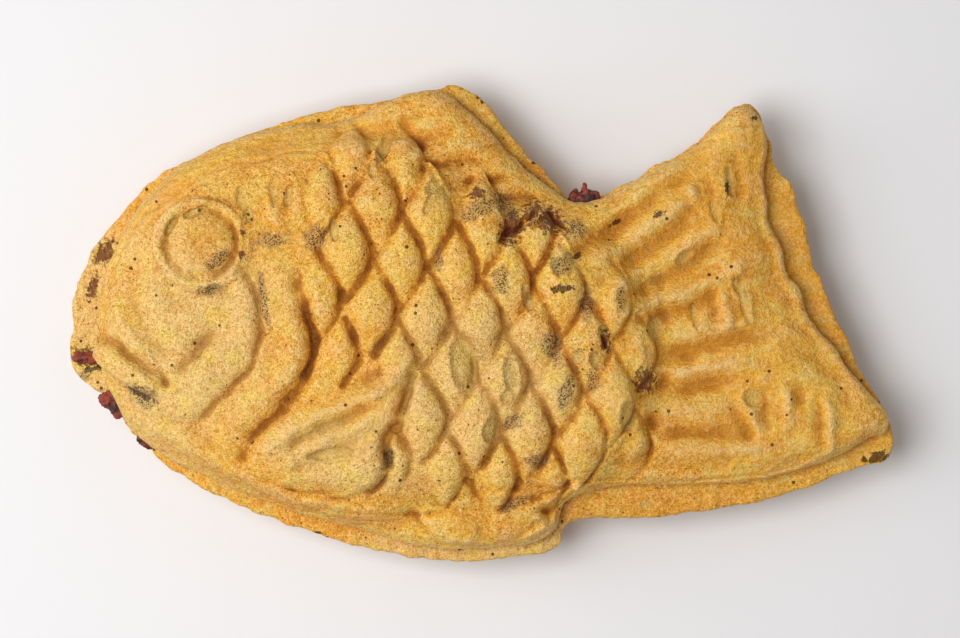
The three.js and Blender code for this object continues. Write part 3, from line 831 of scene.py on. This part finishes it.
def crust_finish(name, colours, shift):
    """Baked batter: golden, paler and browner in patches, with pores and blisters."""
    f = Finish(name, colours.golden)
    place = f.place(shift)
    broad = f.noise(place, 22, 2)
    patch = f.noise(place, 5, 3, 0.55)
    hue = f.channel(f.noise(place, 4.2, 2, 0.4, "Color"), 1)
    mottle = f.noise(place, 1.5, 3, 0.6)
    grain = f.ramp(f.noise(place, 0.33, 1, 0.7), 0.36, 0.64)
    speck = f.noise(place, 0.75, 2, 0.8)

    # what the relief and the noted areas do
    sleek = f.ramp(f.noted("sleek") + 1.6 * (broad - 0.5), 1.2, 0.7)
    relief = f.noted("relief") * (1 + 0.25 * sleek)
    drawn_out = f.vector_maths("MULTIPLY", {0: place, 1: (0.22, 1, 1)})
    streak = f.noise(drawn_out, 1.1, 2, 0.6)
    uneven = relief + 0.35 * (patch - 0.5) + 0.3 * (mottle - 0.5)
    # flank: share of toasted colour on the slopes down into hollows, partly real baking and partly painted
    # shade
    flank = f.ramp(uneven, 0.3, -0.3)
    hollow = f.ramp(uneven, -0.1, -0.55)
    deep = f.ramp(relief + 0.5 * (patch - 0.5), -0.42, -1.0)
    raised = f.ramp(relief + 0.5 * (patch - 0.5), 0.05, 0.5)
    paler = f.ramp(f.noted("pale") + 1.2 * (broad - 0.5), 1.3, 0.5)

    # tones of the dry surface
    f.paint(f.ramp(broad + 0.6 * (patch - 0.5), 0.35, 0.65), colours.ochre)
    f.paint(paler, colours.straw)
    f.paint(f.ramp(patch, 0.48, 0.68) * (0.62 - 0.42 * paler), colours.toasted)
    f.paint(f.ramp(hue, 0.5, 0.64) * 0.45, colours.rosy)
    f.paint(f.ramp(hue, 0.5, 0.36) * 0.8, colours.lemon)
    f.paint(raised * f.ramp(mottle, 0.3, 0.6) * 0.6, colours.tan)
    f.paint(f.ramp(f.noted("toast") + 1.4 * (patch - 0.5), 1.2, 0.4) * 0.6, colours.toasted)
    # pale crowns on what stands out: partly the less baked tops, partly a painted highlight
    f.paint(f.ramp(relief + 0.3 * (mottle - 0.5), 0.3, 0.9) * 0.5, colours.cream_highlight)

    # towards the hollows: partly the real brown of the mould's hottest ridges, partly painted shade
    f.paint(flank * (0.6 - 0.35 * paler), colours.toasted)
    # painted shade: an olive tone in the hollows of the pale face and belly
    f.paint(hollow * paler * 0.5, colours.window)
    # brown in the hollows: partly the mould's real baking, partly painted shade
    browning_and_shade = f.ramp(mottle, 0.15, 0.5) * (0.9 - 0.4 * paler) * (1 - 0.5 * sleek)
    f.paint(hollow * browning_and_shade, colours.browned)
    # near-black in the deepest grooves: partly real baking, partly painted shade
    f.paint(deep * (0.85 - 0.35 * paler) * (1 - 0.6 * sleek), colours.scorched)

    # blisters: a pale window of thin skin in a browned rim
    edge = f.noted("blister") + 0.8 * (mottle - 0.5)
    window = f.ramp(edge, 1.1, 0.75)
    f.paint(window * (0.25 + 0.75 * patch), colours.window)
    rim = f.ramp(edge, 1.25, 1.0) * f.ramp(edge, 0.8, 1.0)
    f.paint(rim * f.ramp(patch, 0.4, 0.6) * 0.5, colours.browned)

    # mottling, streaks and grain
    crowd = f.noise(place, 5, 3, 0.6)
    fine = 0.5 * grain + 0.5 * f.ramp(speck, 0.3, 0.7)
    gritty = 1 - 0.45 * sleek - 0.4 * window
    f.paint(f.ramp(mottle, 0.5, 0.26) * 0.36, colours.toasted)
    f.paint(f.ramp(streak, 0.5, 0.3) * sleek * 0.4, colours.toasted)
    f.paint(f.ramp(streak, 0.52, 0.7) * sleek * (0.4 - 0.3 * hollow), colours.straw)
    f.paint(f.ramp(mottle, 0.52, 0.76) * (0.42 - 0.36 * hollow), colours.straw)
    f.paint(f.ramp(fine, 0.44, 0.04) * gritty * 0.3, colours.umber)
    f.paint(f.ramp(fine, 0.5, 0.96) * gritty * (0.34 - 0.3 * hollow), colours.crumb)

    # dots, many small and a few larger, and pores
    small = 0.44, 0.3, 0.34, 0.55, colours.umber
    large = 0.9, 0.18, 0.84, 0.8, colours.scorched
    for size, radius, rarity, share, colour in (small, large):
        dots = f.cells(place, size)
        lot = f.channel(f.cells(place, size, "Color"), 1)
        dots = f.ramp(dots + 0.3 * (mottle - 0.5), radius + 0.08, radius - 0.08)
        dots = dots * f.ramp(lot + 1.8 * (crowd - 0.5), rarity, rarity + 0.16) * (1 - 0.6 * sleek)
        f.paint(dots * share, colour)
    pores = f.cells(place, 2.6)
    lot = f.channel(f.cells(place, 2.6, "Color"), 2)
    pores = f.ramp(pores, 0.14, 0.09) * f.ramp(lot + 0.8 * (crowd - 0.5), 0.8, 0.84)
    f.paint(pores * 0.85, colours.pore)

    # stains, scorched spots and grey specks
    stain = f.ramp(f.noted("stain") + 2.6 * (mottle - 0.5) + 1.4 * (speck - 0.5), 1.3, 0.5)
    f.paint(stain * 0.85, colours.stain)
    scorch = f.ramp(f.noted("scorch") + 2.4 * (mottle - 0.5) + 1.6 * (speck - 0.5), 1.2, 0.7)
    f.paint(scorch * 0.85, colours.pore)
    dusty = f.ramp(f.noted("dusk") + 1.8 * (mottle - 0.5) + 0.8 * (patch - 0.5), 1.1, 0.5)
    f.paint(dusty * 0.32, colours.dusk)
    f.paint(dusty * f.ramp(speck + 0.5 * (grain - 0.5), 0.52, 0.6) * 0.85, colours.pore)

    f.tint(0.88 + 0.22 * fine)
    roughness = 0.64 - 0.14 * window + 0.08 * (grain - 0.5)
    bumps = 0.34 * mottle + 0.3 * streak * sleek + 0.06 * grain + 0.17 * speck
    height = bumps - 0.12 * dots - 0.3 * pores - 0.06 * window - 0.2 * scorch - 0.25 * stain
    return f.complete(roughness, height, **{"Specular IOR Level": 0.18})


def paste_finish(colours):
    """Sweet bean paste: dark red, uneven and moist."""
    f = Finish("bean_paste", colours.dark)
    place = f.place()
    patch = f.noise(place, 3.5, 2)
    lump = f.noise(place, 0.8, 3, 0.6)
    # lighter red on the raised lumps, partly a painted highlight, and the dark mass in the gaps, partly
    # painted shade
    f.paint(f.ramp(patch + 0.5 * f.noted("relief") + 1.2 * (lump - 0.5), 0.35, 0.8), colours.red)
    f.tint(0.7 + 0.6 * lump)
    return f.complete(0.45 + 0.4 * lump, 0.25 * lump)


def floor_finish():
    f = Finish("pale_floor", (0.84, 0.83, 0.84))
    grain = f.noise(f.place(), 60, 1)
    f.paint(grain, (0.86, 0.85, 0.86))
    return f.complete(0.8, 0.02 * grain)


# ---- what a user may change


def length_of(name, description, default, least=0):
    return FloatProperty(name=name, description=f"{description}, in mm", default=default, min=least)


class CrustSizes(bpy.types.PropertyGroup):
    rim: length_of("Rim", "Height of the upright edge", 2.2)
    body_rise: length_of("Body", "Rise of the flank above the rim", 10.6)
    body_rounding: length_of("Body rounding", "Width of the rounded edge of the flank", 15)
    tail_rise: length_of("Tail", "Rise of tail and fins above the rim", 4.4)
    tail_rounding: length_of("Tail rounding", "Width of the rounded edge of tail and fins", 5)
    scale_rise: length_of("Scale rise", "Half the thickness of a scale", 4.0)
    scale_sink: length_of("Scale sink", "How deep the middle of a scale is sunk", 1.5)
    scale_width: length_of("Scale width", "Width of a scale", 9.9)
    scale_length: length_of("Scale length", "Length of a scale", 21.0)
    scale_tilt: FloatProperty(
        name="Scale tilt", description="How far the side towards the tail stands out", subtype="ANGLE",
        default=math.radians(11),
    )
    scale_point: FloatProperty(
        name="Scale point", description="How full a scale is towards its ends", default=1.5, min=1
    )
    voxel: length_of("Detail", "Size of the surface's faces", 0.42, least=0.2)


def shade(red, green, blue):
    """A display colour of 0 to 255 as the scene's linear colour."""
    levels = (v / 255 for v in (red, green, blue))
    return tuple(((v + 0.055) / 1.055) ** 2.4 if v > 0.04045 else v / 12.92 for v in levels)


def colour_of(name, description, red, green, blue):
    return FloatVectorProperty(
        name=name, description=description, subtype="COLOR", min=0, max=1,
        default=shade(red, green, blue),
    )


class CrustColours(bpy.types.PropertyGroup):
    golden: colour_of("Golden", "Most of the crust", 246, 194, 72)
    ochre: colour_of("Ochre", "Its deeper patches", 238, 168, 56)
    straw: colour_of("Straw", "The pale face and belly", 232, 194, 120)
    # on the crowns this colour is partly a painted highlight
    cream_highlight: colour_of("Cream", "The crowns of the scales", 240, 200, 136)
    tan: colour_of("Tan", "The dry tops of scales and folds", 240, 190, 112)
    rosy: colour_of("Rosy", "Dry patches with a warm tone", 242, 184, 108)
    lemon: colour_of("Lemon", "Patches that stayed yellow", 236, 198, 96)
    # toasted is also laid on the slopes into hollows, there partly as painted shade
    toasted: colour_of("Toasted", "Where the crust is baked longer", 224, 152, 46)
    # in the hollows this colour is partly painted shade
    browned: colour_of("Browned", "The hollows that the mould bakes most", 164, 94, 14)
    # in the deepest grooves this colour is partly painted shade
    scorched: colour_of("Scorched", "The deepest grooves", 106, 52, 6)
    crumb: colour_of("Crumb", "The pale grain of the crust", 255, 228, 156)
    umber: colour_of("Umber", "The dark grain of the crust", 152, 92, 0)
    # the blister colour is also laid in the hollows of pale areas as painted shade
    window: colour_of("Blister", "The thin skin over a blister", 202, 176, 98)
    pore: colour_of("Pore", "The dots that bubbles leave", 62, 30, 10)
    stain: colour_of("Stain", "Crust that bean paste has coloured", 112, 50, 34)
    dusk: colour_of("Dusk", "Grey-blue crust over the filling", 160, 140, 106)


class PasteColours(bpy.types.PropertyGroup):
    dark: colour_of("Dark", "The mass of the paste", 44, 14, 14)
    # this red is also laid on the raised lumps as a painted highlight
    red: colour_of("Red", "Where the paste is thin and dry", 150, 58, 34)


# ---- marks on the crust: ovals, as X, Y, width, height and turn in degrees

UPPER_SPOTS = {
    "pale": [(-52, 0, 34, 46, 0), (-56, -12, 26, 24, 0), (-24, -24, 36, 14, -10), (-2, -10, 40, 30, 0)],
    "blister": [
        (-3, -7.2, 5, 10.5, 8), (5.3, -9.2, 2.6, 7, 8), (4.4, -12.8, 1.6, 2.6, -30),
        (-17.6, 31.6, 2.2, 5.6, -22), (45, 26, 1.6, 6, 8), (42.2, 20.4, 1.8, 4.6, 15),
        (47.6, 4.4, 2, 9, 10), (1.8, -19, 3, 4.6, -10), (17.4, -5.8, 2.2, 2.6, 0), (31.4, -0.8, 3, 4.6, 0),
        (49, -13.4, 3.4, 3.4, 0), (-48, 6.4, 2.4, 1.6, 20), (66, -2.6, 5, 2.4, -40),
        (-26.4, 17, 1.6, 4.4, 8), (-37.2, 23.6, 1.8, 6, 4), (-34.6, 22.8, 1.6, 4, -8),
        (13.4, 10.9, 2, 5.4, 14), (8.2, 4.6, 1.6, 5.4, 16), (-8.6, 24.8, 2.4, 3.4, -25),
        (20.4, -6.6, 2, 3.4, 24), (-9.4, 21.4, 1.5, 4.4, -22), (-43.2, 22.6, 1.8, 4.4, 8),
        (-41.6, 19.4, 1.5, 3.4, 10), (-19.6, 27.4, 1.2, 3.2, 10), (36.6, 12.2, 3.6, 2, 40),
        (38.6, 1.4, 1.4, 5.2, 8), (46.4, 6.6, 1.4, 4, 30), (-51.4, 20, 4.6, 1.5, 24),
        (-55.6, 17.6, 1.4, 4, -30), (21.8, -1.4, 1.8, 2.4, 0), (26.4, -16.6, 3, 6, 0),
        (-27, -23.2, 8, 2.2, 8),
    ],
    "stain": [  # coloured by the filling
        (5.4, 16.9, 3.4, 5.6, -25), (9.2, 20.1, 2.8, 4.2, -30), (12.4, 18.6, 4.8, 4.2, -35),
        (22.3, -3.3, 1.8, 4, 8), (-42.9, 12.4, 1.3, 1.7, 20), (-42.8, 16.4, 0.9, 0.9, 0),
        (-70.2, -2.2, 1.6, 2.6, 15), (-1, 23.4, 2.6, 1.8, 10), (29.6, -10.4, 3.4, 4.4, 0),
    ],
    "scorch": [
        (48, 40.6, 4, 1.6, 15), (49.6, 37.5, 1, 1, 0), (14.6, 6.4, 4.6, 1.3, 8), (32, 19.9, 1.9, 1.3, 20),
        (24.3, 18.4, 2.4, 0.8, 35), (-61.4, -12.6, 5.2, 0.9, -28), (17.2, 12.2, 1.4, 1.4, 0),
        (44.4, 24.8, 0.8, 2.6, 5), (72.4, -24.6, 3.4, 1, 12),
    ],
    "dusk": [  # thin and grey, with dark specks
        # the first oval here greys and specks the lower right of the eye ball as painted shade
        (-47.2, 11.6, 2.6, 6, -45), (3.4, 7.6, 4, 6, 10), (12.8, -4, 4, 7, 15), (18.8, 3, 3.4, 7, 0),
        (-7.6, 11.4, 2, 5, 0), (15, -12.4, 3, 8, -20), (4, 21.4, 7, 4, -35), (20, -10.2, 3, 6, 10),
        (9.6, -24.4, 6, 3, 0), (25, 4.4, 2.4, 6, 0), (-37.6, 15.2, 8, 3.4, 5), (-29.6, 15.2, 6, 5, 60),
        (-48.6, 6.2, 5, 2.4, 0), (-0.4, 20.6, 9, 4, 20), (14.4, 10.6, 5, 4, 20), (16.8, 17.2, 5, 4, 0),
        (-38.9, 4, 1.8, 12, 8), (6.4, -32.2, 8, 2.4, 22), (5.8, -17.4, 5, 3, 30), (-61, -12.8, 7, 4, -28),
        (-17, -24.5, 3, 6, -20),
    ],
    "toast": [
        (43, 23, 13, 15, -30), (22, 16, 14, 6, 35), (50.6, 29, 4, 16, 5), (9, -31, 12, 6, 10),
        (-6, 30, 20, 5, 15), (-3, 40.5, 8, 4, -30), (2, 18, 8, 4, -40), (34, -24, 26, 5, 0),
        # the oval at (-47.6, 11.4) browns the lower right of the eye ball as painted shade
        (-16.6, -20, 2.6, 20, -12), (-41, 29, 16, 7, 30), (-47.6, 11.4, 4, 8, -45), (-50, 15, 10, 10, 0),
        (39, 27, 16, 9, 35), (2, -36, 16, 6, 0), (-43, 14, 1.6, 9, -10), (38, 8, 12, 3, 25),
        (41.8, 2.4, 2, 9, 8), (38, -4.4, 14, 2.4, 8), (36, -11.6, 12, 2.4, 6), (56, -5, 8, 5, -50),
    ],
    "sleek": [(48, 4, 50, 74, 0), (-22, -17, 22, 12, 25), (-20, 34, 50, 8, 8), (-56, 24, 30, 5, 40)],
}
LOWER_SPOTS = {
    "pale": [(-70, 0, 16, 50, 0), (0, -40, 60, 10, 0)],
    "blister": [(30, -33, 3, 1.6, 5)],
    "stain": [
        (-68.8, 13, 3, 4.6, -32), (-70.9, 6.4, 1.4, 5, -15), (-71, -6, 7, 3, 0), (-66, -13.8, 5, 4, 0),
    ],
    "scorch": [(72.2, -24.2, 4.4, 1.8, 12), (-71, -8.2, 3, 1, 0), (-30, -38.2, 1.2, 0.8, 0)],
    "dusk": [(-72, -9, 5, 2, 30)],
    "toast": [(40, -33, 50, 6, 3), (62, 8, 6, 44, 22)],
    "sleek": [(64, 0, 20, 60, 20)],
}


def place_piece(piece, node, finish):
    """Completes a piece: smooth shading, its finish, and its place in the frame."""
    select_only(piece)
    bpy.ops.object.shade_smooth()
    piece.data.materials.clear()
    piece.data.materials.append(finish)
    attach(piece, "root")
    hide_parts(node)


class TAIYAKI_OT_upper_crust(bpy.types.Operator):
    """Models the upper baked half"""

    bl_idname = "taiyaki.upper_crust"
    bl_label = "Upper crust"

    def execute(self, context):
        half = mould_half("upper_crust", context.scene.crust_sizes, seed=3, eye_sink=0)
        press_lines(half, OPEN_CRACKS, 1.0, 1.8)
        note_relief(half, turns=120, rim=1.2)
        sink_blisters(half, UPPER_SPOTS["blister"])
        lift(half, UPPER_BOTTOM / MM)
        note_spots(half, UPPER_SPOTS)
        finish = crust_finish("upper_baked_batter", context.scene.crust_colours, (0, 0, 0))
        place_piece(half, "upper_shell", finish)
        return {"FINISHED"}


class TAIYAKI_OT_lower_crust(bpy.types.Operator):
    """Models the lower baked half with its thin rim"""

    bl_idname = "taiyaki.lower_crust"
    bl_label = "Lower crust"

    def execute(self, context):
        rim = cut_plate("rim", RIM_EDGE, UNDERSIDE_RIM, 0.5)
        roughen(rim, 3.2, 0.9)
        half = mould_half("lower_crust", context.scene.crust_sizes, seed=8, eye_sink=1.1, extra=[rim])
        note_relief(half, turns=120, rim=UNDERSIDE_RIM + 0.4)
        tall = max(v.co.z for v in half.data.vertices)
        half.scale.z = -(LOWER_TOP + PRESSED_FLAT * MM) / tall
        half.location.z = LOWER_TOP
        turn_outwards(bake_place(half))
        for vertex in half.data.vertices:
            vertex.co.z = max(vertex.co.z, 0)
        note_spots(half, LOWER_SPOTS)
        finish = crust_finish("lower_baked_batter", context.scene.crust_colours, (37, 11, 5))
        place_piece(half, "lower_shell", finish)
        return {"FINISHED"}


class TAIYAKI_OT_bean_paste(bpy.types.Operator):
    """Models the filling, with what comes out between the halves"""

    bl_idname = "taiyaki.bean_paste"
    bl_label = "Bean paste"

    def execute(self, context):
        core = lift(cut_plate("red_bean_filling", PASTE_EDGE, 9, 1.2), 9)
        smooth(core, 30)
        runs = [lift(cut_plate("run", edge, thickness, 0.4), level) for edge, level, thickness in LEAKS]
        paste = join(core, *runs)
        remesh(paste, 0.36)
        smooth(paste, 3)
        roughen(paste, 1.4, 1.0)
        roughen(paste, 0.5, 0.8)
        note_relief(paste, turns=20)
        place_piece(paste, "bean_paste", paste_finish(context.scene.paste_colours))
        return {"FINISHED"}


FLOOR_SIZE = 6  # metres
LIGHTS = [  # name, place and size in metres, and power in watts
    ("key_light", (-0.2, -0.01, 0.55), 0.3, 2.15),
    ("side_light", (-0.5, 0.06, 0.4), 0.4, 1.05),
]
LIGHTS_AIM = (0, 0, 0.01)
DAYLIGHT = 0.3  # strength of the light from all round
CAMERA = (-0.27, 0.91, 700)  # place in mm, with its height above the seam
VIEW_WIDTH = 175.2  # what the camera sees across at the seam, in mm


class TAIYAKI_OT_stage(bpy.types.Operator):
    """Sets the floor, the lights and the camera"""

    bl_idname = "taiyaki.stage"
    bl_label = "Stage"

    def execute(self, context):
        select_only()
        bpy.ops.mesh.primitive_plane_add(size=FLOOR_SIZE)
        floor = named("floor")
        floor.data.materials.append(floor_finish())
        for name, place, size, power in LIGHTS:
            select_only()
            bpy.ops.object.light_add(type="AREA", location=place)
            light = named(name)
            light.data.size = size
            light.data.energy = power
            aim = Vector(LIGHTS_AIM) - Vector(place)
            light.rotation_euler = aim.to_track_quat("-Z", "Y").to_euler()
        world = bpy.data.worlds.new("studio")
        world.use_nodes = True
        background = world.node_tree.nodes["Background"].inputs
        background["Color"].default_value = (1, 1, 1, 1)
        background["Strength"].default_value = DAYLIGHT
        context.scene.world = world
        bpy.ops.object.camera_add(location=(CAMERA[0] * MM, CAMERA[1] * MM, (SEAM + CAMERA[2]) * MM))
        camera = named("camera")
        camera.data.lens = camera.data.sensor_width * CAMERA[2] / VIEW_WIDTH
        context.scene.camera = camera
        context.scene.view_settings.view_transform = "Standard"
        return {"FINISHED"}


class TAIYAKI_PT_cake(bpy.types.Panel):
    """Lists the pieces and what can be changed"""

    bl_idname = "TAIYAKI_PT_cake"
    bl_label = "Taiyaki"
    bl_space_type = "VIEW_3D"
    bl_region_type = "UI"
    bl_category = "Taiyaki"

    def draw(self, context):
        for operator in OPERATORS:
            self.layout.operator(operator.bl_idname)
        for group in GROUPS:
            box = self.layout.box()
            settings = getattr(context.scene, group)
            for setting in settings.bl_rna.properties:
                if not setting.is_readonly and setting.identifier != "name":
                    box.prop(settings, setting.identifier)


GROUPS = {"crust_sizes": CrustSizes, "crust_colours": CrustColours, "paste_colours": PasteColours}
OPERATORS = (TAIYAKI_OT_upper_crust, TAIYAKI_OT_lower_crust, TAIYAKI_OT_bean_paste, TAIYAKI_OT_stage)


def register():
    for cls in (*GROUPS.values(), *OPERATORS, TAIYAKI_PT_cake):
        bpy.utils.register_class(cls)
    for name, group in GROUPS.items():
        setattr(bpy.types.Scene, name, PointerProperty(type=group))


def unregister():
    for name in GROUPS:
        delattr(bpy.types.Scene, name)
    for cls in (TAIYAKI_PT_cake, *reversed(OPERATORS), *GROUPS.values()):
        bpy.utils.unregister_class(cls)


def main():
    register()
    bpy.ops.taiyaki.upper_crust()
    bpy.ops.taiyaki.lower_crust()
    bpy.ops.taiyaki.bean_paste()
    bpy.ops.taiyaki.stage()


if __name__ == "__main__":
    main()
